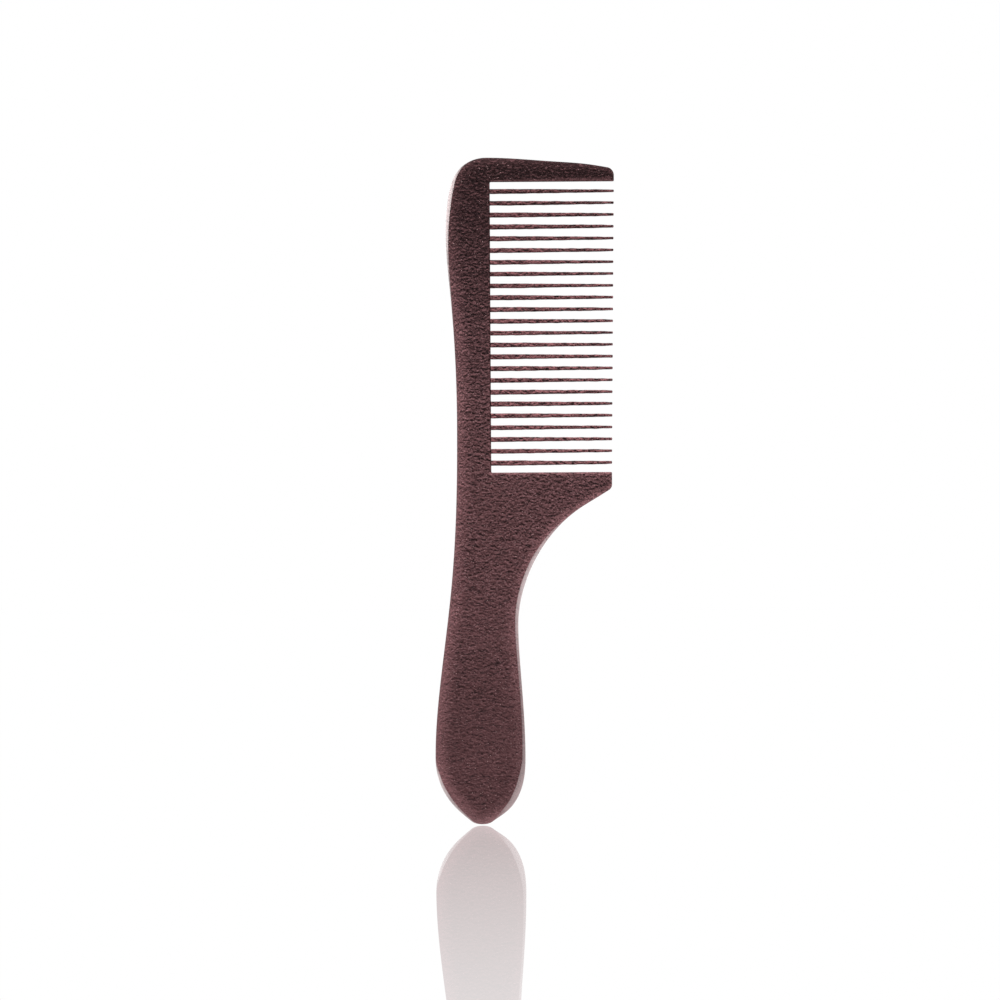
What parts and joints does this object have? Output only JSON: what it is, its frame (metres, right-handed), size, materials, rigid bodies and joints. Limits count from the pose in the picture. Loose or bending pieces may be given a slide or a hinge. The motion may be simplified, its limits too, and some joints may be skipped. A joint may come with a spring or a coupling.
{
  "type": "beard comb",
  "caption": "Handled wooden beard comb: a rounded grip that runs on into a straight spine, with a row of slim tapered teeth between a top guard and a lower web.",
  "frame": {"origin": "on the flat back face, on the handle's centre line at the grip's widest place, 18 mm above the handle's tip", "axes": "+Z runs along the comb from the handle's tip to the head, +X runs from the spine to the tooth points, and +Y is the back face's outward normal, through the thickness"},
  "size_m": [0.0491, 0.009, 0.1801],
  "materials": {
    "dark_wood": "satin"
  },
  "bodies": {
    "root": {"comb_body": "dark_wood", "tooth_01": "dark_wood", "tooth_02": "dark_wood", "tooth_03": "dark_wood", "tooth_04": "dark_wood", "tooth_05": "dark_wood", "tooth_06": "dark_wood", "tooth_07": "dark_wood", "tooth_08": "dark_wood", "tooth_09": "dark_wood", "tooth_10": "dark_wood", "tooth_11": "dark_wood", "tooth_12": "dark_wood", "tooth_13": "dark_wood", "tooth_14": "dark_wood", "tooth_15": "dark_wood", "tooth_16": "dark_wood", "tooth_17": "dark_wood", "tooth_18": "dark_wood", "tooth_19": "dark_wood", "tooth_20": "dark_wood", "tooth_21": "dark_wood", "tooth_22": "dark_wood", "tooth_23": "dark_wood", "tooth_24": "dark_wood"}
  },
  "joints": []
}
